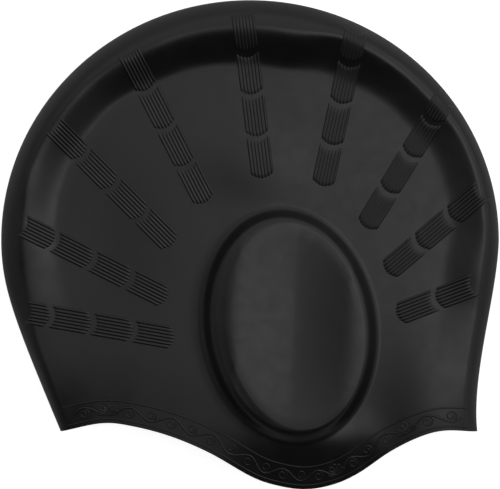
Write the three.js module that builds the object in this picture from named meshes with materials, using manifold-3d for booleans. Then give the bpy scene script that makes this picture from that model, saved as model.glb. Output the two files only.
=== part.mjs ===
// A moulded silicone swim cap with a domed pocket over each ear, empty and lying on its side.
// Millimetres. +X runs from the forehead edge to the nape edge, +Y towards the crown, and +Z up out of the
// upper side. The origin lies under the middle of the cap, on the surface that it rests on. The cap is one
// moulding: its two sides mirror each other in the level plane of the fold, where they join round the crown,
// and they part at the hem, where the head goes in.
import * as THREE from "three";
import { mergeVertices } from "three/addons/utils/BufferGeometryUtils.js";
import Module from "manifold-3d";

// Outline, seen from above
const CAP_LENGTH = 224; // forehead edge to nape edge, at the widest line
const CROWN_RISE = 108; // widest line to the top of the crown
const SIDE_DROP = 86; // widest line to the two corners of the hem
const FLAP_DROP = 26; // corners of the hem to the tip of the ear flap
const FOREHEAD_INSET = 26.8; // how far the forehead corner stands in from the widest line
const NAPE_INSET = 9.7;

// Half thicknesses, from the level plane of the fold to the outer face
const PANEL_HALF = 7.8; // the sunken side panel
const HEM_HALF = 7; // the mouth at its widest
const HEM_BLEND = 34; // the panel narrows to the hem over this width
const ROLL_RISE = 6.8; // crest of the puffed edge above the panel
const ROLL_RADIUS = 10.5; // outline to the crest
const ROLL_SLOPE = 19; // crest to the foot of the inner slope
const FOLD_RADIUS = 5; // the fold's own rounding at the outline

// Walls
const WALL = 1;
const HEM_WALL = 1.6;
const HEM_BAND = 10; // width of the thickened band along the hem

// Ear pocket, an oval dome on each side
const POCKET_HALF = 15.8; // level plane to the lip of the pocket's face
const POCKET_X = 20.2; // centre of the face
const POCKET_Y = -36.7;
const POCKET_WIDTH = 60.8; // across the face
const POCKET_LENGTH = 91.8;
const POCKET_TILT = 8.4; // degrees, the lower end towards the nape
const POCKET_WALL_FRONT = 17.4; // run of the wall towards the forehead
const POCKET_WALL_BACK = 8.2;
const POCKET_WALL_TOP = 10.5;
const POCKET_WALL_BOTTOM = 7.9;
const STEEP_SHARE = 0.82; // how much of the wall's drop its steep middle takes
const STEEP_WIDTH = 6.6;
const FACE_DISH = 2.2; // depth of the long hollow in the face
const FACE_LEAN = 0.7; // how much lower the face's nape side lies
const DISH_BEND = 1.5; // 1 gives the hollow straight sides, 2 a round floor
const DISH_TURN = 0.3; // how far the hollow's line turns away from the oval's
const DISH_FADE = 0.5; // how much of its depth the hollow loses at the oval's two ends
const LIP_FRONT = -0.88; // the hollow lies between these two shares of the face's width
const LIP_BACK = 0.82;
const LIP_OUTSIDE = 0.95; // the lip is level up to this share
const FACE_SHOULDER = 0.4; // how far the face falls from the lip to its rim

// Ribbed pads, in rows that fan out round the pocket
const PAD_LENGTH = 17.2;
const PAD_WIDTH = 10.4;
const PAD_GAP = 1.7;
const PAD_BOW = 2.4; // how far a pad's ends bow towards the pocket
const PAD_RISE = 0.5;
const PAD_ROOT = 0.4; // how deep a pad is rooted in the wall
const PAD_SHORTEST = 0.3; // a row's last pad may be cut short, down to this share of its length
const FAN_X = 15.8; // the point that the rows fan out from
const FAN_Y = -50.6;
const FAN_REACH = 81; // from there to the start of the longest row

// The rows of pads, from the nape side: turn in degrees up from +X, start as a share of the fan's reach, and
// the free run from the row's sides to the outline as a share of a pad's width
const PAD_ROWS = [
  { turn: 18.6, start: 0.672, free: 0.12 },
  { turn: 36.4, start: 0.761, free: 0.12 },
  { turn: 57.5, start: 0.859, free: 0.12 },
  { turn: 78.5, start: 0.963, free: 0.15 },
  { turn: 96.6, start: 1, free: 0.12 },
  { turn: 116.1, start: 0.978, free: 0.15 },
  { turn: 134.1, start: 0.861, free: 0.5 },
  { turn: 153.3, start: 0.721, free: 0.7 },
  { turn: 168.3, start: 0.621, free: 0.3 },
];

// The bends of the forehead side and the nape side, as shares of the side's drop and of its inset
const FOREHEAD_BENDS = [
  { drop: 0.254, inset: 0 },
  { drop: 0.43, inset: 0.243 },
];
const NAPE_BENDS = [
  { drop: 0.28, inset: 0.05 },
  { drop: 0.7, inset: 1.29 },
];

// The hem from the forehead corner to the nape corner: share of the way along, and shares of the flap's drop,
// of the mouth's half thickness and of the width over which the panel narrows to it
const HEM_ROWS = [
  { along: 0, drop: 0, half: 0.7, blend: 1 },
  { along: 0.098, drop: -0.147, half: 0.92, blend: 1 },
  { along: 0.169, drop: -0.105, half: 1, blend: 1 },
  { along: 0.265, drop: 0.077, half: 1, blend: 1 },
  { along: 0.36, drop: 0.37, half: 0.95, blend: 1 },
  { along: 0.455, drop: 0.767, half: 0.62, blend: 0.9 },
  { along: 0.515, drop: 0.925, half: 0.44, blend: 0.85 },
  { along: 0.587, drop: 1, half: 0.38, blend: 0.85 },
  { along: 0.658, drop: 0.906, half: 0.44, blend: 0.85 },
  { along: 0.718, drop: 0.698, half: 0.65, blend: 0.9 },
  { along: 0.789, drop: 0.337, half: 0.95, blend: 1 },
  { along: 0.861, drop: 0.075, half: 1, blend: 1 },
  { along: 0.921, drop: -0.029, half: 1, blend: 1 },
  { along: 1, drop: 0, half: 0.85, blend: 1 },
];

// The puffed edge from the forehead corner over the crown to the nape corner: share of the way along the
// fold, shares of the roll's radius, slope and rise, and how evenly its inner slope falls
const ROLL_ROWS = [
  { along: 0, radius: 0.42, slope: 1.2, rise: 0, bend: 1 },
  { along: 0.07, radius: 0.5, slope: 1.1, rise: 0.02, bend: 1 },
  { along: 0.13, radius: 0.95, slope: 0.9, rise: 0.12, bend: 1 },
  { along: 0.19, radius: 0.95, slope: 0.8, rise: 0.42, bend: 1 },
  { along: 0.236, radius: 0.8, slope: 0.85, rise: 0.6, bend: 1 },
  { along: 0.33, radius: 0.9, slope: 0.8, rise: 0.8, bend: 1 },
  { along: 0.42, radius: 1.1, slope: 0.9, rise: 0.95, bend: 1 },
  { along: 0.54, radius: 1.25, slope: 0.95, rise: 1, bend: 1 },
  { along: 0.6, radius: 0.85, slope: 1, rise: 0.92, bend: 0.8 },
  { along: 0.68, radius: 0.8, slope: 0.85, rise: 0.6, bend: 0.8 },
  { along: 0.74, radius: 0.6, slope: 0.85, rise: 0.42, bend: 0.8 },
  { along: 0.815, radius: 0.65, slope: 0.85, rise: 0.38, bend: 0.8 },
  { along: 0.86, radius: 0.75, slope: 0.9, rise: 0.35, bend: 1 },
  { along: 0.905, radius: 0.65, slope: 0.9, rise: 0.14, bend: 1 },
  { along: 0.95, radius: 0.6, slope: 1, rise: 0.03, bend: 1 },
  { along: 1, radius: 0.6, slope: 1, rise: 0, bend: 1 },
];

// Soft swells and dents of the side panel: place and reach as shares of the cap's length, measured from the
// middle of the widest line, and height as a share of the roll's rise
const SWELLS = [
  { x: 0.013, y: 0.143, reach_x: 0.09, reach_y: 0.054, height: 0.147 },
  { x: 0.366, y: -0.344, reach_x: 0.09, reach_y: 0.161, height: 0.382 },
  { x: -0.3, y: -0.018, reach_x: 0.098, reach_y: 0.138, height: -0.079 },
  { x: 0.116, y: -0.397, reach_x: 0.098, reach_y: 0.049, height: 0.368 },
];

// Mesh lines along the fold and along the hem, and rings between the middle of the pocket and the outline
const FOLD_LINES = 34;
const HEM_LINES = 20;
const CORNER_CROWDING = 0.5; // 0 spaces the hem's lines evenly, 1 crowds them at the corners
const FACE_RINGS = [-LIP_FRONT, LIP_OUTSIDE, 1];
const WALL_RINGS = [0.34, 0.5, 0.66, 1];
const PANEL_RINGS = [0.36, 0.74];
const EDGE_RINGS = [1, 0.69, 0.4, 0.18, 0.05, 0]; // shares of the edge zone, from its inside to the outline
const FOLD_ZONE = 27; // width of the edge zone along the fold
const HEM_ZONE = 11;
const FOLD_BLEND = 55; // the mesh lines turn square to the fold over this length from a corner
const HEM_TURN = 95; // and square to the hem over this length
const OUTLINE_STEPS = 200; // straight pieces of a curve that distances are measured to
const SAMPLE = 0.05; // step of the slope's finite differences

const { clamp, degToRad, lerp, smoothstep } = THREE.MathUtils;
const HALF_LENGTH = CAP_LENGTH / 2;
const WIDEST_Y = (SIDE_DROP + FLAP_DROP - CROWN_RISE) / 2;
const CORNER_Y = WIDEST_Y - SIDE_DROP;
const FOREHEAD_CORNER = new THREE.Vector2(FOREHEAD_INSET - HALF_LENGTH, CORNER_Y);
const NAPE_CORNER = new THREE.Vector2(HALF_LENGTH - NAPE_INSET, CORNER_Y);

// An oval of the pocket: grown is 0 for its face, 1 for its wall's foot, and a share for those between them.
const LEAN = degToRad(POCKET_TILT);
const LONG_AXIS = new THREE.Vector2(-Math.sin(LEAN), Math.cos(LEAN));
const CROSS_AXIS = new THREE.Vector2(Math.cos(LEAN), Math.sin(LEAN));
function pocketOval(grown) {
  const half = new THREE.Vector2(
    POCKET_WIDTH + grown * (POCKET_WALL_FRONT + POCKET_WALL_BACK),
    POCKET_LENGTH + grown * (POCKET_WALL_TOP + POCKET_WALL_BOTTOM),
  ).divideScalar(2);
  const centre = new THREE.Vector2(POCKET_X, POCKET_Y)
    .addScaledVector(CROSS_AXIS, (grown * (POCKET_WALL_BACK - POCKET_WALL_FRONT)) / 2)
    .addScaledVector(LONG_AXIS, (grown * (POCKET_WALL_TOP - POCKET_WALL_BOTTOM)) / 2);
  return { centre, half };
}
const FACE = pocketOval(0);
const CREASE = pocketOval(0.5);
const FOOT = pocketOval(1);

// A point's shares of the way across and along an oval, from its centre to its line.
function sharesOf(oval, x, y) {
  const fromCentre = new THREE.Vector2(x, y).sub(oval.centre);
  return {
    across: fromCentre.dot(CROSS_AXIS) / oval.half.x,
    along: fromCentre.dot(LONG_AXIS) / oval.half.y,
  };
}

// How far out a point lies on an oval: 0 at its centre and 1 on its line.
function onOval(oval, x, y) {
  const { across, along } = sharesOf(oval, x, y);
  return Math.hypot(across, along);
}

// The point where the line from the face's centre to an outer point crosses an oval.
function crossing(oval, outer) {
  let low = 0;
  let high = 1;
  for (let i = 0; i < 40; i++) {
    const middle = (low + high) / 2;
    const point = FACE.centre.clone().lerp(outer, middle);
    if (onOval(oval, point.x, point.y) < 1) low = middle;
    else high = middle;
  }
  return FACE.centre.clone().lerp(outer, high);
}

// The fold, up the forehead side, over the crown and down the nape side.
function foldCurve() {
  const bendPoint = (row, inset, sign) =>
    new THREE.Vector2(sign * (HALF_LENGTH - row.inset * inset), WIDEST_Y - row.drop * SIDE_DROP);
  const front = FOREHEAD_BENDS.map((row) => bendPoint(row, FOREHEAD_INSET, -1));
  const back = NAPE_BENDS.map((row) => bendPoint(row, NAPE_INSET, 1));
  const frontWidest = new THREE.Vector2(-HALF_LENGTH, WIDEST_Y);
  const backWidest = new THREE.Vector2(HALF_LENGTH, WIDEST_Y);
  const path = new THREE.CurvePath();
  path.add(new THREE.CubicBezierCurve(FOREHEAD_CORNER, front[1], front[0], frontWidest));
  path.add(new THREE.EllipseCurve(0, WIDEST_Y, HALF_LENGTH, CROWN_RISE, Math.PI, 0, true));
  path.add(new THREE.CubicBezierCurve(backWidest, back[0], back[1], NAPE_CORNER));
  return path;
}

// The hem, from the forehead corner down round the ear flap to the nape corner.
function hemCurve() {
  const hemX = (row) => lerp(FOREHEAD_CORNER.x, NAPE_CORNER.x, row.along);
  return new THREE.SplineCurve(
    HEM_ROWS.map((row) => new THREE.Vector2(hemX(row), CORNER_Y - row.drop * FLAP_DROP)),
  );
}

const FOLD_POINTS = foldCurve().getSpacedPoints(OUTLINE_STEPS);
const HEM_POINTS = hemCurve().getSpacedPoints(OUTLINE_STEPS);

// Distance from a point to a run of points, positive inside the cap, and the share of the way along the run
// at the nearest place. inside is 1 where the cap lies to the right of the run, and -1 to its left.
function nearest(run, x, y, inside) {
  let best = Infinity;
  let share = 0;
  let sign = 1;
  for (let i = 0; i + 1 < run.length; i++) {
    const a = run[i];
    const stepX = run[i + 1].x - a.x;
    const stepY = run[i + 1].y - a.y;
    const t = clamp(((x - a.x) * stepX + (y - a.y) * stepY) / (stepX * stepX + stepY * stepY), 0, 1);
    const distance = Math.hypot(x - a.x - t * stepX, y - a.y - t * stepY);
    if (distance < best) {
      best = distance;
      share = (i + t) / (run.length - 1);
      sign = Math.sign((x - a.x) * stepY - (y - a.y) * stepX) * inside;
    }
  }
  return { distance: best * sign, share };
}

// A column of a table at a share of the way along, eased between its rows.
function eased(rows, share, column) {
  const next = clamp(rows.findIndex((row) => row.along >= share), 1, rows.length - 1);
  const [low, high] = [rows[next - 1], rows[next]];
  return lerp(low[column], high[column], smoothstep(share, low.along, high.along));
}

// How high the pocket's wall has risen: 1 on the face, 0 outside the foot, with a steep step on the crease.
function pocketShare(x, y) {
  const outsideFace = Math.max(onOval(FACE, x, y) - 1, 0);
  const insideFoot = Math.max(1 - onOval(FOOT, x, y), 0);
  const gentle = smoothstep(insideFoot / Math.max(outsideFace + insideFoot, SAMPLE / POCKET_WIDTH), 0, 1);
  const onCrease = Math.max(onOval(CREASE, x, y), 0.5);
  const fromCentre = Math.hypot(x - CREASE.centre.x, y - CREASE.centre.y);
  const beyond = fromCentre - Math.max(fromCentre, CREASE.half.x / 2) / onCrease;
  const steep = 1 - smoothstep(beyond, -STEEP_WIDTH / 2, STEEP_WIDTH / 2);
  return lerp(gentle, steep, STEEP_SHARE);
}

// How far the pocket's face lies below its highest lip: a long hollow between two lips, and a shoulder.
function faceDepth(x, y) {
  const { across, along } = sharesOf(FACE, x, y);
  const middle = (LIP_FRONT + LIP_BACK) / 2 + DISH_TURN * along;
  const fromMiddle = Math.min((2 * Math.abs(across - middle)) / (LIP_BACK - LIP_FRONT), 1);
  const depth = FACE_DISH * (1 - DISH_FADE * Math.min(along * along, 1));
  const lean = FACE_LEAN * smoothstep(across, LIP_FRONT, LIP_BACK);
  const shoulder = FACE_SHOULDER * smoothstep(Math.hypot(across, along), LIP_OUTSIDE, 1.1);
  return depth * (1 - fromMiddle ** DISH_BEND) + lean + shoulder;
}

// The square of the outer face's height above the level plane. It falls through zero at the fold, which gives
// the edge its round tip, and is negative outside.
function squaredHeight(x, y) {
  const fold = nearest(FOLD_POINTS, x, y, 1);
  const hem = nearest(HEM_POINTS, x, y, -1);
  const radius = ROLL_RADIUS * eased(ROLL_ROWS, fold.share, "radius");
  const slope = ROLL_SLOPE * eased(ROLL_ROWS, fold.share, "slope");
  const rise = ROLL_RISE * eased(ROLL_ROWS, fold.share, "rise");
  const hemHalf = HEM_HALF * eased(HEM_ROWS, hem.share, "half");
  const blend = HEM_BLEND * eased(HEM_ROWS, hem.share, "blend");
  const fromHem = 2 * smoothstep(hem.distance, -blend, blend) - 1;
  let height = lerp(hemHalf, PANEL_HALF, fromHem);
  const inner = clamp((fold.distance - radius) / slope, 0, 1) ** eased(ROLL_ROWS, fold.share, "bend");
  height += rise * (1 - smoothstep(inner, 0, 1));
  for (const swell of SWELLS) {
    const fromX = (x / CAP_LENGTH - swell.x) / swell.reach_x;
    const fromY = ((y - WIDEST_Y) / CAP_LENGTH - swell.y) / swell.reach_y;
    height += swell.height * ROLL_RISE * Math.exp(-fromX * fromX - fromY * fromY);
  }
  height = lerp(height, POCKET_HALF - faceDepth(x, y), pocketShare(x, y));
  const across = Math.min(fold.distance / radius, 1);
  const tip = Math.min((2 * FOLD_RADIUS * radius) / (height * height), 2);
  return height * height * across * (tip + across * (3 - 2 * tip - across * (2 - tip)));
}

// The outer point above a place, and the inner point a wall's thickness behind it. On the pocket the wall is
// measured straight down, so that its inner face keeps its shape, and elsewhere square to the surface.
function wallAt(x, y, onFold) {
  const height = onFold ? 0 : Math.sqrt(Math.max(squaredHeight(x, y), 0));
  const slopeX = (squaredHeight(x + SAMPLE, y) - squaredHeight(x - SAMPLE, y)) / (2 * SAMPLE);
  const slopeY = (squaredHeight(x, y + SAMPLE) - squaredHeight(x, y - SAMPLE)) / (2 * SAMPLE);
  const normal = new THREE.Vector3(-slopeX / 2, -slopeY / 2, height).normalize();
  const fromHem = nearest(HEM_POINTS, x, y, -1).distance;
  const wall = lerp(HEM_WALL, WALL, smoothstep(fromHem, 0, HEM_BAND));
  const outer = new THREE.Vector3(x, y, height);
  const inwards =
    onOval(FOOT, x, y) < 1 ? new THREE.Vector3(0, 0, -1 / normal.z) : normal.clone().negate();
  return { outer, inwards, wall };
}

// Places round the outline, from the forehead corner over the crown to the nape corner and back along the
// hem, each with its outward direction, its distance from the nearest corner and the edge zone's width.
function outlinePlaces() {
  const places = [];
  const addPlace = (curve, share, outwards, zone, reach) => {
    const point = curve.getPointAt(share);
    const along = curve.getTangentAt(share);
    const fromCorner = Math.min(share, 1 - share) * curve.getLength();
    const squareOut = new THREE.Vector2(-along.y, along.x).multiplyScalar(outwards);
    const blend = smoothstep(fromCorner, 0, reach);
    places.push({
      point,
      outwards: point.clone().sub(FACE.centre).normalize().lerp(squareOut, blend).normalize(),
      zone: lerp(HEM_ZONE, zone, blend),
      onFold: outwards > 0 || fromCorner === 0,
    });
  };
  for (let i = 0; i <= FOLD_LINES; i++) addPlace(foldCurve(), i / FOLD_LINES, 1, FOLD_ZONE, FOLD_BLEND);
  for (let i = 1; i < HEM_LINES; i++) {
    const even = 1 - i / HEM_LINES;
    const share = even - (CORNER_CROWDING * Math.sin(2 * Math.PI * even)) / (2 * Math.PI);
    addPlace(hemCurve(), share, -1, HEM_ZONE, HEM_TURN);
  }
  return places;
}

// The mesh line from the pocket's face out to one place of the outline, as wall points.
function meshLine(place) {
  const face = crossing(FACE, place.point);
  const foot = crossing(FOOT, place.point);
  const edge = EDGE_RINGS.map((share) =>
    place.point.clone().addScaledVector(place.outwards, -share * place.zone),
  );
  const plan = [
    ...FACE_RINGS.map((share) => FACE.centre.clone().lerp(face, share)),
    ...WALL_RINGS.map((share) => face.clone().lerp(foot, share)),
    ...PANEL_RINGS.map((share) => foot.clone().lerp(edge[0], share)),
    ...edge,
  ];
  return plan.map((point, i) => wallAt(point.x, point.y, place.onFold && i === plan.length - 1));
}

// A closed shell between two depths below the outer face. Each depth is a function of the wall's thickness.
function shell(lines, outerDepth, innerDepth) {
  const triangles = [];
  const addFace = (flipped, ...corners) => {
    const ordered = flipped ? corners.reverse() : corners;
    for (const corner of ordered) triangles.push(corner.x, corner.y, corner.z);
  };
  const middle = wallAt(FACE.centre.x, FACE.centre.y, false);
  for (const side of [1, -1]) {
    const pointAt = (wallPoint, depth) =>
      wallPoint.outer
        .clone()
        .addScaledVector(wallPoint.inwards, depth(wallPoint.wall))
        .multiply(new THREE.Vector3(1, 1, side));
    for (const [depth, outside] of [[outerDepth, true], [innerDepth, false]]) {
      const flipped = (side > 0) !== outside;
      lines.forEach((line, i) => {
        const next = lines[(i + 1) % lines.length];
        addFace(flipped, pointAt(middle, depth), pointAt(next[0], depth), pointAt(line[0], depth));
        for (let k = 0; k + 1 < line.length; k++) {
          const [a, b] = [pointAt(line[k], depth), pointAt(next[k], depth)];
          const [c, d] = [pointAt(next[k + 1], depth), pointAt(line[k + 1], depth)];
          addFace(flipped, a, b, c);
          addFace(flipped, a, c, d);
        }
      });
    }
    for (let i = FOLD_LINES; i < lines.length; i++) {
      const [a, b] = [lines[i].at(-1), lines[(i + 1) % lines.length].at(-1)];
      const [outerA, outerB] = [pointAt(a, outerDepth), pointAt(b, outerDepth)];
      const [innerA, innerB] = [pointAt(a, innerDepth), pointAt(b, innerDepth)];
      addFace(side > 0, outerA, innerA, innerB);
      addFace(side > 0, outerA, innerB, outerB);
    }
  }
  return closedGeometry(triangles);
}

// Welds loose triangles into one mesh, without the ones that have collapsed to a line.
function closedGeometry(triangles) {
  const loose = new THREE.BufferGeometry();
  loose.setAttribute("position", new THREE.Float32BufferAttribute(triangles, 3));
  const welded = mergeVertices(loose, 1e-3);
  const index = Array.from(welded.index.array);
  const kept = [];
  for (let i = 0; i < index.length; i += 3) {
    const [a, b, c] = index.slice(i, i + 3);
    if (a !== b && b !== c && c !== a) kept.push(a, b, c);
  }
  welded.setIndex(kept);
  return welded;
}

const wasm = await Module();
wasm.setup();

function toSolid(geometry) {
  return new wasm.Manifold(
    new wasm.Mesh({
      numProp: 3,
      vertProperties: new Float32Array(geometry.attributes.position.array),
      triVerts: new Uint32Array(geometry.index.array),
    }),
  );
}

function toGeometry(solid) {
  const mesh = solid.getMesh();
  const geometry = new THREE.BufferGeometry();
  geometry.setAttribute("position", new THREE.BufferAttribute(mesh.vertProperties, 3));
  geometry.setIndex(new THREE.BufferAttribute(mesh.triVerts, 1));
  return geometry;
}

// One pad seen from above: a strip along +Y from 0 to length, its two ends bowed towards the pocket.
function padShape(length) {
  const half = PAD_WIDTH / 2;
  const shape = new THREE.Shape();
  shape.moveTo(-half, 0);
  shape.quadraticCurveTo(0, -2 * PAD_BOW, half, 0);
  shape.lineTo(half, length);
  shape.quadraticCurveTo(0, length - 2 * PAD_BOW, -half, length);
  shape.closePath();
  return shape;
}

// The upright prisms that cut the pads of the upper side out of a skin.
function padPrisms() {
  const fan = new THREE.Vector2(FAN_X, FAN_Y);
  const prisms = [];
  for (const row of PAD_ROWS) {
    const angle = degToRad(row.turn);
    const along = new THREE.Vector2(Math.cos(angle), Math.sin(angle));
    const sideDistance = (reach, half) => {
      const x = fan.x + reach * along.x + half * along.y;
      const y = fan.y + reach * along.y - half * along.x;
      return nearest(FOLD_POINTS, x, y, 1).distance;
    };
    const foldDistance = (reach) =>
      Math.min(sideDistance(reach, PAD_WIDTH / 2), sideDistance(reach, -PAD_WIDTH / 2));
    let end = row.start * FAN_REACH;
    while (foldDistance(end + 1) > row.free * PAD_WIDTH) end += 1;
    const shortest = PAD_SHORTEST * PAD_LENGTH;
    for (let reach = row.start * FAN_REACH; reach < end - shortest; reach += PAD_LENGTH + PAD_GAP) {
      const prism = new THREE.ExtrudeGeometry(padShape(Math.min(PAD_LENGTH, end - reach)), {
        depth: 2 * POCKET_HALF,
        bevelEnabled: false,
        curveSegments: 3,
      });
      prism.rotateZ(angle - Math.PI / 2);
      prism.translate(fan.x + reach * along.x, fan.y + reach * along.y, 0);
      prism.deleteAttribute("normal");
      prism.deleteAttribute("uv");
      prisms.push(toSolid(mergeVertices(prism)));
    }
  }
  return prisms;
}

function capGeometry() {
  const lines = outlinePlaces().map(meshLine);
  let cap = toSolid(shell(lines, () => 0, (wall) => wall));
  const skin = toSolid(shell(lines, () => -PAD_RISE, () => PAD_ROOT));
  for (const prism of padPrisms()) {
    const pad = skin.intersect(prism);
    cap = cap.add(pad).add(pad.mirror([0, 0, 1]));
  }
  return toGeometry(cap);
}

const silicone = new THREE.MeshStandardMaterial({ color: 0x161617, roughness: 0.45, metalness: 0 });
const capShell = new THREE.Mesh(capGeometry(), silicone);
capShell.name = "cap_shell";
capShell.position.z = POCKET_HALF; // it lies on the lower pocket's lip

const cap = new THREE.Group();
cap.add(capShell);

export default cap;
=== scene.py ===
"""The finished look of a moulded silicone swim cap that lies empty on its side.

The cap is one black moulding. Its skin, its ribbed grip pads and the raised ornament along its hem are
modelled here round the same form: an outline seen from above, and a height over every place inside it.
All lengths are in metres. +X runs towards the nape, +Y towards the crown and +Z up out of the upper side.
"""

import logging
import math
from dataclasses import dataclass, field
from enum import Enum

import bmesh
import bpy
import numpy as np
from mathutils import Matrix, Vector

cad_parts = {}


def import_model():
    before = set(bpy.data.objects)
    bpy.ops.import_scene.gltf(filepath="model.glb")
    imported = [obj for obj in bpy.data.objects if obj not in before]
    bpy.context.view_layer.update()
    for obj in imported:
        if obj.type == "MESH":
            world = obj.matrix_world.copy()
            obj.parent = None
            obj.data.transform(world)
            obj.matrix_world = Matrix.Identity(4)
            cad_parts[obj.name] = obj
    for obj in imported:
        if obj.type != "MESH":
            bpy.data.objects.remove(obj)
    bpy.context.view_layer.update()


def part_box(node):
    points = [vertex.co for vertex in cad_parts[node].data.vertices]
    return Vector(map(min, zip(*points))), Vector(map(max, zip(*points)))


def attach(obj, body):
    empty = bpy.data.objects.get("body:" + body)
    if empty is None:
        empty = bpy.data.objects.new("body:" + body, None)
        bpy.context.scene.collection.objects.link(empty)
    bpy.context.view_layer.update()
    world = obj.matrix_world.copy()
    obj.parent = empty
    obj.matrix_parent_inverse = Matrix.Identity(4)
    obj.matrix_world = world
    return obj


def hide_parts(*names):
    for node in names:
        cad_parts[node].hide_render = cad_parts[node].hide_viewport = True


LOG = logging.getLogger("swim_cap")
NODE = "cap_shell"
BODY = "root"
TINY = 1e-9  # keeps a division from meeting zero
CHUNK = 4096  # places measured at a time, to save memory

# The colour sockets of a Mix node, which share their names with its other sockets
MIX_FIRST = 6
MIX_SECOND = 7
MIX_RESULT = 2


class Oval(Enum):
    """The ovals of an ear pocket, as how far each has grown from its face's rim to its wall's foot."""

    FACE = 0.0
    CREASE = 0.5
    FOOT = 1.0


@dataclass(frozen=True)
class TableRow:
    """One row of a table of shares along an edge of the cap."""

    along: float
    values: dict[str, float]


def table(*rows: dict[str, float]) -> tuple[TableRow, ...]:
    """Makes a table from rows with named columns.

    Args:
        rows: One dictionary a row. Its column "along" is the share of the way along the edge.

    Returns:
        The rows in order.
    """
    return tuple(TableRow(row["along"], row) for row in rows)


def smoothstep(value: np.ndarray, low: float | np.ndarray, high: float | np.ndarray) -> np.ndarray:
    """Eases from 0 at low to 1 at high.

    Args:
        value: The values to ease.
        low: Where the result starts to rise from 0.
        high: Where it reaches 1.

    Returns:
        The eased values.
    """
    share = np.clip((value - low) / (high - low), 0.0, 1.0)
    return share * share * (3.0 - 2.0 * share)


def column(rows: tuple[TableRow, ...], name: str, share: np.ndarray) -> np.ndarray:
    """Reads a column of a table at shares of the way along, eased between the rows.

    Args:
        rows: The table.
        name: The column's name.
        share: Shares of the way along the edge.

    Returns:
        One value for each share.
    """
    result = np.full(share.shape, rows[0].values[name])
    for low, high in zip(rows, rows[1:]):
        step = high.values[name] - low.values[name]
        result = result + step * smoothstep(share, low.along, high.along)
    return result


def lengths_along(run: np.ndarray) -> np.ndarray:
    """Measures how far along a run of points each of them lies.

    Args:
        run: The run, one point a row.

    Returns:
        One length for each point, from 0 at the first.
    """
    return np.concatenate([[0.0], np.cumsum(np.linalg.norm(np.diff(run, axis=0), axis=1))])


def read_at(run: np.ndarray, marks: np.ndarray, wanted: np.ndarray) -> np.ndarray:
    """Reads a run of points or directions between its rows.

    Args:
        run: The run, one point or direction a row.
        marks: A mark for each row, rising along the run.
        wanted: The marks to read at.

    Returns:
        One row for each wanted mark.
    """
    return np.stack([np.interp(wanted, marks, run[:, axis]) for axis in (0, 1)], axis=1)


def unit(directions: np.ndarray) -> np.ndarray:
    """Scales directions to a length of 1.

    Args:
        directions: The directions, one a row.

    Returns:
        The scaled directions.
    """
    return directions / np.maximum(np.linalg.norm(directions, axis=1), TINY)[:, None]


@dataclass(frozen=True)
class Swell:
    """A soft swell or dent of the side: its place, its reach both ways and its height."""

    x: float
    y: float
    reach_x: float
    reach_y: float
    height: float


@dataclass(frozen=True)
class Bend:
    """A bend of the forehead or nape side, as shares of the side's drop and of its corner's inset."""

    drop: float
    inset: float


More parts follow.
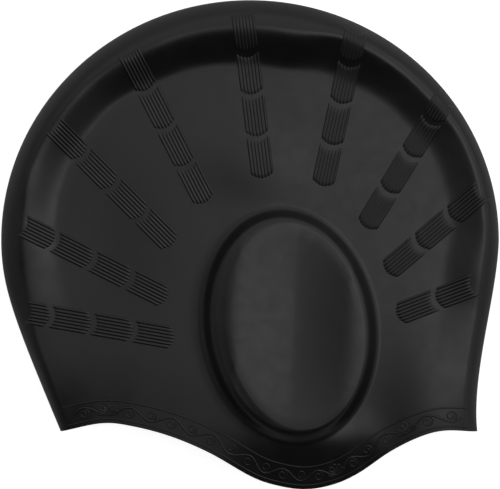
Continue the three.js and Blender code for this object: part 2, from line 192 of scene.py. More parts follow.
@dataclass
class CapForm:
    """The form of the cap's outer face: its outline from above and its height over the fold's plane."""

    # The outline
    length: float = 0.224
    crown_rise: float = 0.108
    side_drop: float = 0.086
    flap_drop: float = 0.026
    forehead_inset: float = 0.0268
    nape_inset: float = 0.0097
    forehead_bends: tuple[Bend, Bend] = (Bend(0.254, 0.0), Bend(0.43, 0.243))
    nape_bends: tuple[Bend, Bend] = (Bend(0.28, 0.05), Bend(0.7, 1.29))

    # The heights of the panels and the hem over the fold's plane, and the puffed edge
    panel_half: float = 0.0078
    hem_half: float = 0.007
    hem_blend: float = 0.034
    roll_rise: float = 0.0068
    roll_radius: float = 0.0105
    roll_slope: float = 0.019
    fold_radius: float = 0.005

    # The ear pocket: its oval, its wall, and the hollow and the lip of its face
    pocket_half: float = 0.0158
    pocket_centre: tuple[float, float] = (0.0202, -0.0367)
    pocket_size: tuple[float, float] = (0.0608, 0.0918)
    pocket_tilt: float = 8.4
    pocket_core: float = 0.5
    wall_front: float = 0.0174
    wall_back: float = 0.0082
    wall_top: float = 0.0105
    wall_bottom: float = 0.0079
    steep_share: float = 0.82
    steep_width: float = 0.0066
    face_dish: float = 0.0022
    face_lean: float = 0.0007
    dish_bend: float = 1.5
    dish_turn: float = 0.3
    dish_fade: float = 0.5
    lip_front: float = -0.88
    lip_back: float = 0.82
    lip_outside: float = 0.95
    face_shoulder: float = 0.0004
    shoulder_end: float = 1.1

    # How finely the curves are drawn, and how near two heights are read for a slope
    steps: int = 300
    span_steps: int = 40
    slope_sample: float = 2e-5

    # The swells of the side, and how the hem and the puffed edge change from one corner to the other
    swells: tuple[Swell, ...] = (
        Swell(0.003, 0.034, 0.020, 0.012, 0.0010),
        Swell(0.082, -0.075, 0.020, 0.036, 0.0026),
        Swell(-0.067, -0.002, 0.022, 0.031, -0.00054),
        Swell(0.026, -0.087, 0.022, 0.011, 0.0025),
    )
    hem_rows: tuple[TableRow, ...] = table(
        {"along": 0.0, "drop": 0.0, "half": 0.7, "blend": 1.0},
        {"along": 0.098, "drop": -0.147, "half": 0.92, "blend": 1.0},
        {"along": 0.169, "drop": -0.105, "half": 1.0, "blend": 1.0},
        {"along": 0.265, "drop": 0.077, "half": 1.0, "blend": 1.0},
        {"along": 0.36, "drop": 0.37, "half": 0.95, "blend": 1.0},
        {"along": 0.455, "drop": 0.767, "half": 0.62, "blend": 0.9},
        {"along": 0.515, "drop": 0.925, "half": 0.44, "blend": 0.85},
        {"along": 0.587, "drop": 1.0, "half": 0.38, "blend": 0.85},
        {"along": 0.658, "drop": 0.906, "half": 0.44, "blend": 0.85},
        {"along": 0.718, "drop": 0.698, "half": 0.65, "blend": 0.9},
        {"along": 0.789, "drop": 0.337, "half": 0.95, "blend": 1.0},
        {"along": 0.861, "drop": 0.075, "half": 1.0, "blend": 1.0},
        {"along": 0.921, "drop": -0.029, "half": 1.0, "blend": 1.0},
        {"along": 1.0, "drop": 0.0, "half": 0.85, "blend": 1.0},
    )
    roll_rows: tuple[TableRow, ...] = table(
        {"along": 0.0, "radius": 0.42, "slope": 1.2, "rise": 0.0, "bend": 1.0},
        {"along": 0.07, "radius": 0.5, "slope": 1.1, "rise": 0.02, "bend": 1.0},
        {"along": 0.13, "radius": 0.95, "slope": 0.9, "rise": 0.12, "bend": 1.0},
        {"along": 0.19, "radius": 0.95, "slope": 0.8, "rise": 0.42, "bend": 1.0},
        {"along": 0.236, "radius": 0.8, "slope": 0.85, "rise": 0.6, "bend": 1.0},
        {"along": 0.33, "radius": 0.9, "slope": 0.8, "rise": 0.8, "bend": 1.0},
        {"along": 0.42, "radius": 1.1, "slope": 0.9, "rise": 0.95, "bend": 1.0},
        {"along": 0.54, "radius": 1.25, "slope": 0.95, "rise": 1.0, "bend": 1.0},
        {"along": 0.6, "radius": 0.85, "slope": 1.0, "rise": 0.92, "bend": 0.8},
        {"along": 0.68, "radius": 0.8, "slope": 0.85, "rise": 0.6, "bend": 0.8},
        {"along": 0.74, "radius": 0.6, "slope": 0.85, "rise": 0.42, "bend": 0.8},
        {"along": 0.815, "radius": 0.65, "slope": 0.85, "rise": 0.38, "bend": 0.8},
        {"along": 0.86, "radius": 0.75, "slope": 0.9, "rise": 0.35, "bend": 1.0},
        {"along": 0.905, "radius": 0.65, "slope": 0.9, "rise": 0.14, "bend": 1.0},
        {"along": 0.95, "radius": 0.6, "slope": 1.0, "rise": 0.03, "bend": 1.0},
        {"along": 1.0, "radius": 0.6, "slope": 1.0, "rise": 0.0, "bend": 1.0},
    )

    # Worked out from the sizes
    middle: float = field(init=False)
    widest_y: float = field(init=False)
    fold: np.ndarray = field(init=False)
    hem: np.ndarray = field(init=False)

    def __post_init__(self) -> None:
        """Works out the plane of the fold and the two curves of the outline."""
        low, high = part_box(NODE)
        self.middle = (low[2] + high[2]) / 2.0
        self.widest_y = (self.side_drop + self.flap_drop - self.crown_rise) / 2.0
        self.fold = self.even(self.fold_curve())
        self.hem = self.even(self.hem_curve())

    def even(self, points: np.ndarray) -> np.ndarray:
        """Spaces a run of points evenly along its length, as self.steps + 1 points."""
        lengths = lengths_along(points)
        return read_at(points, lengths, np.linspace(0.0, lengths[-1], self.steps + 1))

    def corners(self) -> tuple[np.ndarray, np.ndarray]:
        """Finds the hem's corners.

        Returns:
            The corner at the forehead and the corner at the nape.
        """
        y = self.widest_y - self.side_drop
        front = np.array([self.forehead_inset - self.length / 2.0, y])
        back = np.array([self.length / 2.0 - self.nape_inset, y])
        return front, back

    def on_side(self, end: float, corner_inset: float, bend: Bend) -> np.ndarray:
        """Places a bend of the side that is widest at x = end and whose corner stands in by corner_inset."""
        inwards = -math.copysign(bend.inset * corner_inset, end)
        return np.array([end + inwards, self.widest_y - bend.drop * self.side_drop])

    def swept(self, start: np.ndarray, first: np.ndarray, second: np.ndarray, end: np.ndarray) -> np.ndarray:
        """Draws a cubic curve.

        Args:
            start: Where it starts.
            first: The place that it starts towards.
            second: The place that it arrives from.
            end: Where it ends.

        Returns:
            Its points, one a row.
        """
        share = np.linspace(0.0, 1.0, self.steps)[:, None]
        rest = 1.0 - share
        outer = rest**3 * start + share**3 * end
        return outer + 3.0 * rest * share * (rest * first + share * second)

    def fold_curve(self) -> np.ndarray:
        """Draws the fold, up the forehead side, over the crown and down the nape side.

        Returns:
            Its points, one a row.
        """
        front, back = self.corners()
        half = self.length / 2.0
        front_bends = [self.on_side(-half, self.forehead_inset, bend) for bend in self.forehead_bends]
        back_bends = [self.on_side(half, self.nape_inset, bend) for bend in self.nape_bends]
        rising = self.swept(front, *reversed(front_bends), np.array([-half, self.widest_y]))
        falling = self.swept(np.array([half, self.widest_y]), *back_bends, back)
        turn = np.linspace(np.pi, 0.0, self.steps)
        crown = np.column_stack([half * np.cos(turn), self.widest_y + self.crown_rise * np.sin(turn)])
        return np.concatenate([rising, crown[1:], falling[1:]])

    def hem_curve(self) -> np.ndarray:
        """Draws the hem, from the forehead corner down round the ear flap to the nape corner.

        Returns:
            Its points, one a row.
        """
        front, back = self.corners()
        knot_x = [front[0] + row.along * (back[0] - front[0]) for row in self.hem_rows]
        knot_y = [front[1] - row.values["drop"] * self.flap_drop for row in self.hem_rows]
        knots = np.column_stack([knot_x, knot_y])
        padded = np.concatenate([[2 * knots[0] - knots[1]], knots, [2 * knots[-1] - knots[-2]]])
        share = np.linspace(0.0, 1.0, self.span_steps, endpoint=False)[:, None]
        spans = []
        for a, b, c, d in zip(padded, padded[1:], padded[2:], padded[3:]):
            cubic = -a + 3 * b - 3 * c + d
            square = 2 * a - 5 * b + 4 * c - d
            spans.append(0.5 * (2 * b + (c - a) * share + square * share**2 + cubic * share**3))
        return np.concatenate([*spans, knots[-1:]])

    @staticmethod
    def nearest(run: np.ndarray, places: np.ndarray, inside: float) -> tuple[np.ndarray, np.ndarray]:
        """Measures places against a run of points.

        Args:
            run: The run, one point a row.
            places: The places, one a row.
            inside: 1 where the cap lies to the right of the run, and -1 to its left.

        Returns:
            The distance, positive inside the cap, and the share of the way along the run.
        """
        start = run[:-1]
        step = run[1:] - start
        length2 = np.sum(step * step, axis=1)
        distances = np.empty(len(places))
        shares = np.empty(len(places))
        for low in range(0, len(places), CHUNK):
            chunk = places[low : low + CHUNK]
            offset = chunk[:, None, :] - start[None, :, :]
            along = np.clip(np.sum(offset * step, axis=2) / length2, 0.0, 1.0)
            gap = np.linalg.norm(offset - along[..., None] * step, axis=2)
            best = np.argmin(gap, axis=1)
            rows = np.arange(len(chunk))
            cross = offset[rows, best, 0] * step[best, 1] - offset[rows, best, 1] * step[best, 0]
            distances[low : low + CHUNK] = gap[rows, best] * np.where(cross * inside < 0.0, -1.0, 1.0)
            shares[low : low + CHUNK] = (best + along[rows, best]) / (len(run) - 1)
        return distances, shares

    def on_pocket(self, places: np.ndarray, oval: Oval) -> tuple[np.ndarray, np.ndarray, np.ndarray]:
        """Measures places against an oval of the pocket.

        Args:
            places: The places, one a row.
            oval: The oval.

        Returns:
            The shares of the way across and along the oval, from its centre to its line, and the distances
            beyond that line, negative inside it.
        """
        lean = math.radians(self.pocket_tilt)
        axes = np.array([[math.cos(lean), math.sin(lean)], [-math.sin(lean), math.cos(lean)]])
        before = np.array([self.wall_front, self.wall_bottom]) * oval.value
        after = np.array([self.wall_back, self.wall_top]) * oval.value
        half = (np.array(self.pocket_size) + before + after) / 2.0
        offset = (places - np.array(self.pocket_centre)) @ axes.T
        offset = offset - (after - before) / 2.0
        shares = offset / half
        from_centre = np.linalg.norm(offset, axis=1)
        on_line = np.maximum(np.linalg.norm(shares, axis=1), self.pocket_core)
        beyond = from_centre - np.maximum(from_centre, self.pocket_core * half[0]) / on_line
        return shares[:, 0], shares[:, 1], beyond

    def outwards(self, places: np.ndarray, oval: Oval) -> np.ndarray:
        """Tells how far out places lie on an oval of the pocket: 0 at its centre and 1 on its line."""
        across, along, _ = self.on_pocket(places, oval)
        return np.hypot(across, along)

    def pocket_share(self, places: np.ndarray) -> np.ndarray:
        """Tells how high the pocket's wall has risen: 1 on its face, 0 outside its foot.

        Args:
            places: The places, one a row.

        Returns:
            One share for each place.
        """
        outside = np.maximum(self.outwards(places, Oval.FACE) - 1.0, 0.0)
        inside = np.maximum(1.0 - self.outwards(places, Oval.FOOT), 0.0)
        gentle = smoothstep(inside / np.maximum(outside + inside, TINY), 0.0, 1.0)
        _, _, beyond = self.on_pocket(places, Oval.CREASE)
        steep = 1.0 - smoothstep(beyond, -self.steep_width / 2.0, self.steep_width / 2.0)
        return gentle + (steep - gentle) * self.steep_share

    def face_depth(self, places: np.ndarray) -> np.ndarray:
        """Works out how far the pocket's face lies below its highest lip.

        Args:
            places: The places, one a row.

        Returns:
            One depth for each place.
        """
        across, along, _ = self.on_pocket(places, Oval.FACE)
        middle = (self.lip_front + self.lip_back) / 2.0 + self.dish_turn * along
        from_middle = np.minimum(2.0 * np.abs(across - middle) / (self.lip_back - self.lip_front), 1.0)
        depth = self.face_dish * (1.0 - self.dish_fade * np.minimum(along * along, 1.0))
        lean = self.face_lean * smoothstep(across, self.lip_front, self.lip_back)
        shoulder = self.face_shoulder * smoothstep(
            np.hypot(across, along), self.lip_outside, self.shoulder_end
        )
        return depth * (1.0 - from_middle**self.dish_bend) + lean + shoulder

    def squared_height(self, places: np.ndarray) -> np.ndarray:
        """Works out the square of the outer face's height over the fold's plane.

        Args:
            places: The places, one a row.

        Returns:
            The squared heights, which fall through zero at the fold and are negative outside it.
        """
        fold, fold_share = self.nearest(self.fold, places, 1.0)
        hem, hem_share = self.nearest(self.hem, places, -1.0)
        radius = self.roll_radius * column(self.roll_rows, "radius", fold_share)
        slope = self.roll_slope * column(self.roll_rows, "slope", fold_share)
        rise = self.roll_rise * column(self.roll_rows, "rise", fold_share)
        mouth = self.hem_half * column(self.hem_rows, "half", hem_share)
        blend = self.hem_blend * column(self.hem_rows, "blend", hem_share)
        from_hem = 2.0 * smoothstep(hem, -blend, blend) - 1.0
        height = mouth + (self.panel_half - mouth) * from_hem
        bend = column(self.roll_rows, "bend", fold_share)
        inner = np.clip((fold - radius) / slope, 0.0, 1.0) ** bend
        height = height + rise * (1.0 - smoothstep(inner, 0.0, 1.0))
        for swell in self.swells:
            from_x = (places[:, 0] - swell.x) / swell.reach_x
            from_y = (places[:, 1] - swell.y) / swell.reach_y
            height = height + swell.height * np.exp(-from_x * from_x - from_y * from_y)
        face = self.pocket_half - self.face_depth(places)
        height = height + (face - height) * self.pocket_share(places)
        across = np.minimum(fold / radius, 1.0)
        tip = np.minimum(2.0 * self.fold_radius * radius / (height * height), 2.0)
        return height * height * across * (tip + across * (3.0 - 2.0 * tip - across * (2.0 - tip)))

    def surface(self, places: np.ndarray, lift: float | np.ndarray = 0.0) -> np.ndarray:
        """Finds the outer face of the upper side over places.

        Args:
            places: The places, one a row.
            lift: How far above the face each point lies, square to it.

        Returns:
            Points in space, one a row.
        """
        squared = self.squared_height(places)
        height = np.sqrt(np.maximum(squared, 0.0))
        points = np.column_stack([places, height + self.middle])
        if np.any(lift):
            sample = self.slope_sample
            slope_x = (self.squared_height(places + np.array([sample, 0.0])) - squared) / sample
            slope_y = (self.squared_height(places + np.array([0.0, sample])) - squared) / sample
            normal = unit(np.stack([-slope_x / 2.0, -slope_y / 2.0, height], axis=1))
            points = points + normal * np.broadcast_to(lift, height.shape)[:, None]
        return points


def mirrored(mesh: bmesh.types.BMesh, middle: float) -> None:
    """Copies the upper side of a mesh to the lower side, which gets vertices of its own at the fold.

    Args:
        mesh: The mesh of the upper side.
        middle: The height of the fold's plane.
    """
    everything = [*mesh.verts, *mesh.edges, *mesh.faces]
    to_plane = Matrix.Translation((0.0, 0.0, -middle))
    bmesh.ops.mirror(mesh, geom=everything, matrix=to_plane, axis="Z")
    bmesh.ops.recalc_face_normals(mesh, faces=mesh.faces[:])


def finished(mesh: bmesh.types.BMesh, name: str, material: bpy.types.Material) -> bpy.types.Object:
    """Turns a mesh into a smooth piece of the cap that rides on its body.

    Args:
        mesh: The finished mesh, which is freed.
        name: The piece's name.
        material: Its finish.

    Returns:
        The new object, at the origin.
    """
    for face in mesh.faces:
        face.smooth = True
    data = bpy.data.meshes.new(name)
    mesh.to_mesh(data)
    mesh.free()
    data.materials.append(material)
    piece = bpy.data.objects.new(name, data)
    bpy.context.scene.collection.objects.link(piece)
    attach(piece, BODY)
    return piece


@dataclass
class CapSkin:
    """The moulded skin: crown, side panels, puffed edge, ear pockets and hem."""

    form: CapForm
    fold_lines: int = 168
    hem_lines: int = 84
    crowding: float = 0.6
    face_rings: int = 9
    wall_rings: int = 16
    panel_rings: int = 16
    slope_rings: int = 14
    crest_rings: int = 14
    hem_zone: float = 0.011
    fold_blend: float = 0.055
    hem_blend: float = 0.095
    wall: float = 0.001
    hem_wall: float = 0.0016
    hem_band: float = 0.010
    halvings: int = 40

    def edge_places(self) -> tuple[np.ndarray, np.ndarray, np.ndarray]:
        """Finds the places round the outline that the mesh lines run to.

        Returns:
            The places, their outward directions, and how full the edge zone is there, from 0 to 1.
        """
        centre = np.array(self.form.pocket_centre)
        fold_share = np.linspace(0.0, 1.0, self.fold_lines + 1)
        even = 1.0 - np.arange(1, self.hem_lines) / self.hem_lines
        hem_share = even - self.crowding * np.sin(2.0 * np.pi * even) / (2.0 * np.pi)
        places, outwards, full = [], [], []
        fold_side = (self.form.fold, fold_share, 1.0, self.fold_blend)
        hem_side = (self.form.hem, hem_share, -1.0, self.hem_blend)
        for run, shares, sign, reach in (fold_side, hem_side):
            marks = np.linspace(0.0, 1.0, len(run))
            point = read_at(run, marks, shares)
            along = read_at(np.gradient(run, axis=0), marks, shares)
            square = unit(sign * np.stack([-along[:, 1], along[:, 0]], axis=1))
            from_corner = np.minimum(shares, 1.0 - shares) * lengths_along(run)[-1]
            blend = smoothstep(from_corner, 0.0, reach)[:, None]
            straight = unit(point - centre)
            places.append(point)
            outwards.append(unit(straight + (square - straight) * blend))
            full.append(blend[:, 0] if sign > 0 else np.zeros(len(shares)))
        return np.concatenate(places), np.concatenate(outwards), np.concatenate(full)

    def crossing(self, outer: np.ndarray, oval: Oval) -> np.ndarray:
        """Finds where the lines from the pocket's centre cross one of its ovals.

        Args:
            outer: The outer ends of the lines.
            oval: The oval.

        Returns:
            One crossing for each line.
        """
        centre = np.array(self.form.pocket_centre)
        low = np.zeros(len(outer))
        high = np.ones(len(outer))
        for _ in range(self.halvings):
            middle = (low + high) / 2.0
            within = self.form.outwards(centre + (outer - centre) * middle[:, None], oval) < 1.0
            low = np.where(within, middle, low)
            high = np.where(within, high, middle)
        return centre + (outer - centre) * high[:, None]

    def rings(self) -> list[np.ndarray]:
        """Places the mesh's rings, from inside the pocket's face out to the outline.

        Returns:
            One array of places for each ring.
        """
        form = self.form
        edge, outwards, full = self.edge_places()
        centre = np.array(form.pocket_centre)
        face, foot = self.crossing(edge, Oval.FACE), self.crossing(edge, Oval.FOOT)
        _, share = form.nearest(form.fold, edge, 1.0)
        radius = form.roll_radius * column(form.roll_rows, "radius", share)
        slope = form.roll_slope * column(form.roll_rows, "slope", share)
        scale = self.hem_zone / (radius + slope) * (1.0 - full) + full
        inset = [(radius + slope * k / self.slope_rings) * scale for k in range(self.slope_rings, 0, -1)]
        turns = np.linspace(np.pi / 2.0, 0.0, self.crest_rings + 1)
        inset += [radius * (1.0 - math.cos(turn)) * scale for turn in turns]
        zone = [edge - outwards * depth[:, None] for depth in inset]
        rings = [centre + (face - centre) * (k / self.face_rings) for k in range(1, self.face_rings + 1)]
        rings += [face + (foot - face) * (k / self.wall_rings) for k in range(1, self.wall_rings + 1)]
        rings += [foot + (zone[0] - foot) * (k / self.panel_rings) for k in range(1, self.panel_rings)]
        return rings + zone

    def build(self) -> bmesh.types.BMesh:
        """Models the outer face of both sides, which meet along the fold.

        Returns:
            The mesh, with its wall still to be thickened.
        """
        form = self.form
        rings = self.rings()
        mesh = bmesh.new()
        count = len(rings[0])
        circle = bmesh.ops.create_circle(mesh, cap_ends=True, cap_tris=True, segments=count, radius=1.0)
        hub = min(circle["verts"], key=lambda vert: vert.co.length)
        hub.co = Vector(form.surface(np.array([form.pocket_centre]))[0])
        rim = [vert for vert in circle["verts"] if vert is not hub]
        loop = sorted(rim, key=lambda vert: -math.atan2(vert.co.y, vert.co.x))
        for k, ring in enumerate(rings):
            if k > 0:
                loop = self.grown(mesh, loop)
            points = form.surface(ring)
            if k == len(rings) - 1:
                # Along the fold the two sides meet in its plane
                points[: self.fold_lines + 1, 2] = form.middle
            for vert, point in zip(loop, points):
                vert.co = Vector(point)
        mirrored(mesh, form.middle)
        return mesh

    @staticmethod
    def grown(mesh: bmesh.types.BMesh, loop: list[bmesh.types.BMVert]) -> list[bmesh.types.BMVert]:
        """Adds a ring of faces round a loop.

        Args:
            mesh: The mesh.
            loop: The vertices of its outermost ring, in order.

        Returns:
            The vertices of the new ring, in the same order.
        """
        edges = [mesh.edges.get(pair) for pair in zip(loop, [*loop[1:], loop[0]])]
        extruded = bmesh.ops.extrude_edge_only(mesh, edges=edges)["geom"]
        fresh = {element for element in extruded if isinstance(element, bmesh.types.BMVert)}
        result = []
        for vert in loop:
            beside = (edge.other_vert(vert) for edge in vert.link_edges)
            result.append(next(other for other in beside if other in fresh))
        return result

    def thicken(self, piece: bpy.types.Object) -> None:
        """Gives the skin its wall, thicker along the hem.

        Args:
            piece: The skin, as the outer face alone.
        """
        places = np.array([vert.co[:2] for vert in piece.data.vertices])
        from_hem, _ = self.form.nearest(self.form.hem, places, -1.0)
        share = 1.0 - (1.0 - self.wall / self.hem_wall) * smoothstep(from_hem, 0.0, self.hem_band)
        group = piece.vertex_groups.new(name="wall")
        for index, value in enumerate(share):
            group.add([index], float(value), "REPLACE")
        solidify = piece.modifiers.new("wall", "SOLIDIFY")
        solidify.thickness = self.hem_wall
        solidify.offset = -1.0
        solidify.vertex_group = group.name

    def dress(self, material: bpy.types.Material) -> bpy.types.Object:
        """Builds the skin in its finish, in place of the cap's plain solid.

        Args:
            material: Its finish.

        Returns:
            The skin.
        """
        piece = finished(self.build(), "cap_skin", material)
        self.thicken(piece)
        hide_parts(NODE)
        return piece


@dataclass(frozen=True)
class PadRow:
    """A row of grip pads: its turn in degrees, its start as a share of the fan's reach, and its free end."""

    turn: float
    start: float
    free: float


@dataclass
class GripPads:
    """The rows of ribbed pads that fan out round each ear pocket."""

    form: CapForm
    length: float = 0.0172
    width: float = 0.0104
    gap: float = 0.0017
    bow: float = 0.0024
    shortest: float = 0.3
    ribs: int = 7
    rib_rise: float = 0.00042
    base_rise: float = 0.00012
    sunk: float = 0.00012
    fan_centre: tuple[float, float] = (0.0158, -0.0506)
    fan_reach: float = 0.083
    reach_step: float = 0.0005
    rib_run_out: float = 0.09
    rim_share: float = 0.0001
    steps_per_rib: int = 6
    steps_along: int = 14
    rows: tuple[PadRow, ...] = (
        PadRow(21.0, 0.668, 0.12),
        PadRow(40.3, 0.74, 0.12),
        PadRow(58.4, 0.848, 0.12),
        PadRow(77.8, 0.971, 0.15),
        PadRow(97.1, 1.0, 0.12),
        PadRow(117.2, 0.966, 0.15),
        PadRow(135.0, 0.887, 0.5),
        PadRow(153.3, 0.74, 0.7),
        PadRow(170.1, 0.632, 0.3),
    )

    def spans(self) -> list[tuple[np.ndarray, np.ndarray, float]]:
        """Lays the pads out.

        Returns:
            For each pad the middle of its inner end, its direction and its length.
        """
        result = []
        centre = np.array(self.fan_centre)
        for row in self.rows:
            angle = math.radians(row.turn)
            along = np.array([math.cos(angle), math.sin(angle)])
            start = row.start * self.fan_reach
            reach = np.arange(start, self.form.length, self.reach_step)
            line = centre + reach[:, None] * along
            side = np.array([along[1], -along[0]]) * self.width / 2.0
            nape_side, _ = self.form.nearest(self.form.fold, line + side, 1.0)
            forehead_side, _ = self.form.nearest(self.form.fold, line - side, 1.0)
            end = reach[np.argmax(np.minimum(nape_side, forehead_side) < row.free * self.width)]
            while start < end - self.shortest * self.length:
                result.append((centre + along * start, along, min(self.length, end - start)))
                start += self.length + self.gap
        return result

    def add_pad(self, mesh: bmesh.types.BMesh, base: np.ndarray, along: np.ndarray, length: float) -> None:
        """Adds one pad that follows the skin.

        Args:
            mesh: The mesh that it is added to.
            base: The middle of its inner end, seen from above.
            along: Its direction.
            length: Its length.
        """
        columns = self.ribs * self.steps_per_rib
        grid = bmesh.ops.create_grid(mesh, x_segments=columns, y_segments=self.steps_along, size=1.0)
        local = np.array([vert.co[:2] for vert in grid["verts"]])
        u, v = local[:, 0], (local[:, 1] + 1.0) / 2.0
        across = np.array([along[1], -along[0]])
        bowed = v * length - self.bow * (1.0 - u * u)
        places = base + across * (u * self.width / 2.0)[:, None] + along * bowed[:, None]
        wave = 0.5 - 0.5 * np.cos(np.pi * (u + 1.0) * self.ribs)
        ends = smoothstep(v, 0.0, self.rib_run_out) * (1.0 - smoothstep(v, 1.0 - self.rib_run_out, 1.0))
        rim = (np.abs(u) > 1.0 - self.rim_share) | (np.minimum(v, 1.0 - v) < self.rim_share)
        lift = np.where(rim, -self.sunk, self.base_rise + self.rib_rise * wave * ends)
        for vert, point in zip(grid["verts"], self.form.surface(places, lift)):
            vert.co = Vector(point)

    def build(self) -> bmesh.types.BMesh:
        """Models all the pads of both sides.

        Returns:
            The mesh.
        """
        mesh = bmesh.new()
        for base, along, length in self.spans():
            self.add_pad(mesh, base, along, length)
        mirrored(mesh, self.form.middle)
        return mesh

    def dress(self, material: bpy.types.Material) -> bpy.types.Object:
        """Builds the pads in their finish."""
        return finished(self.build(), "grip_pads", material)


@dataclass
class HemOrnament:
    """The raised ornament along the hem: two fine lines with a running scroll between them."""

    form: CapForm
    line_depths: tuple[float, float] = (0.0102, 0.0019)
    line_radius: float = 0.0004
    scroll_depth: float = 0.0060
    scroll_wave: float = 0.0021
    scroll_radius: float = 0.0005
    period: float = 0.0185
    curl_radius: float = 0.0024
    curl_turns: float = 1.35
    curl_end: float = 0.28
    curl_shift: float = 0.0005
    thin_share: float = 0.8
    sunk: float = 0.00008
    end_margin: float = 0.004
    palmettes: tuple[int, ...] = (1, 13, 17)
    petals: int = 5
    petal_spread: float = 150.0
    petal_length: float = 0.0046
    petal_half: float = 0.0011
    petal_root: float = 0.16
    palmette_depth: float = 0.0042
    line_steps: int = 240
    scroll_steps: int = 24
    curl_steps: int = 34
    petal_steps: int = 20

    def on_band(self, along: np.ndarray, depth: np.ndarray) -> np.ndarray:
        """Turns places along the hem band into places seen from above.

        Args:
            along: Distances along the hem from the forehead corner.
            depth: Distances in from the hem.

        Returns:
            The places, one a row.
        """
        run = self.form.hem
        marks = lengths_along(run)
        tangent = unit(read_at(np.gradient(run, axis=0), marks, along))
        inwards = np.stack([-tangent[:, 1], tangent[:, 0]], axis=1)
        return read_at(run, marks, along) + inwards * depth[:, None]

    def palmette(self, middle: float) -> list[tuple[np.ndarray, float]]:
        """Draws a fan of petals that opens away from the hem.

        Args:
            middle: The distance of its middle along the hem from the forehead corner.

        Returns:
            For each petal its places and its radius.
        """
        result = []
        turn = np.linspace(0.0, 2.0 * np.pi, self.petal_steps)
        reach = self.petal_length * (1.0 - (1.0 - self.petal_root) * (0.5 + 0.5 * np.cos(turn)))
        across = self.petal_half * np.sin(turn)
        spread = math.radians(self.petal_spread) / 2.0
        for lean in np.linspace(-spread, spread, self.petals):
            along = middle + reach * np.sin(lean) + across * np.cos(lean)
            depth = self.palmette_depth + reach * np.cos(lean) - across * np.sin(lean)
            result.append((self.on_band(along, depth), self.thin_share * self.scroll_radius))
        return result

    def curl(self, middle: float, side: float) -> tuple[np.ndarray, float]:
        """Draws a curl of the scroll, which winds inwards.

        Args:
            middle: The distance of its middle along the hem from the forehead corner.
            side: 1 where it starts away from the hem, and -1 where it starts towards the hem.

        Returns:
            Its places and its radius.
        """
        turn = np.linspace(0.0, 2.0 * np.pi * self.curl_turns, self.curl_steps)
        radius = self.curl_radius * (1.0 - (1.0 - self.curl_end) * turn / turn[-1])
        along = middle + radius * np.sin(turn)
        depth = self.scroll_depth + side * (radius * np.cos(turn) - self.curl_shift)
        return self.on_band(along, depth), self.thin_share * self.scroll_radius

    def strokes(self) -> list[tuple[np.ndarray, float]]:
        """Draws the ornament's strokes.

        Returns:
            For each stroke its places and its radius.
        """
        length = lengths_along(self.form.hem)[-1]
        result = []
        along = np.linspace(self.end_margin, length - self.end_margin, self.line_steps)
        for depth in self.line_depths:
            result.append((self.on_band(along, np.full(along.shape, depth)), self.line_radius))
        count = int((length - 2.0 * self.end_margin) / self.period)
        start = (length - count * self.period) / 2.0
        along = np.linspace(start, start + count * self.period, self.scroll_steps * count)
        wave = self.scroll_wave * np.sin(2.0 * np.pi * (along - start) / self.period)
        result.append((self.on_band(along, self.scroll_depth + wave), self.scroll_radius))
        for number in range(2 * count):
            middle = start + (number + 0.5) * self.period / 2.0
            if number in self.palmettes:
                result += self.palmette(middle)
            else:
                result.append(self.curl(middle, 1.0 if number % 2 == 0 else -1.0))
        return result

    def build(self) -> bmesh.types.BMesh:
        """Models the ornament of both sides.

        Returns:
            The mesh.
        """
        curve = bpy.data.curves.new("hem_strokes", "CURVE")
        curve.dimensions = "3D"
        curve.bevel_depth = 1.0
        curve.bevel_resolution = 1
        curve.use_fill_caps = True
        for places, radius in self.strokes():
            points = self.form.surface(places, -self.sunk)
            spline = curve.splines.new("POLY")
            spline.points.add(len(points) - 1)
            for place, point in zip(spline.points, points):
                place.co = (*point, 1.0)
                place.radius = radius
        drawn = bpy.data.objects.new("hem_strokes", curve)
        bpy.context.scene.collection.objects.link(drawn)
        mesh = bmesh.new()
        mesh.from_mesh(drawn.to_mesh())
        drawn.to_mesh_clear()
        bpy.data.objects.remove(drawn)
        bpy.data.curves.remove(curve)
        mirrored(mesh, self.form.middle)
        return mesh

    def dress(self, material: bpy.types.Material) -> bpy.types.Object:
        """Builds the ornament in its finish."""
        return finished(self.build(), "hem_ornament", material)


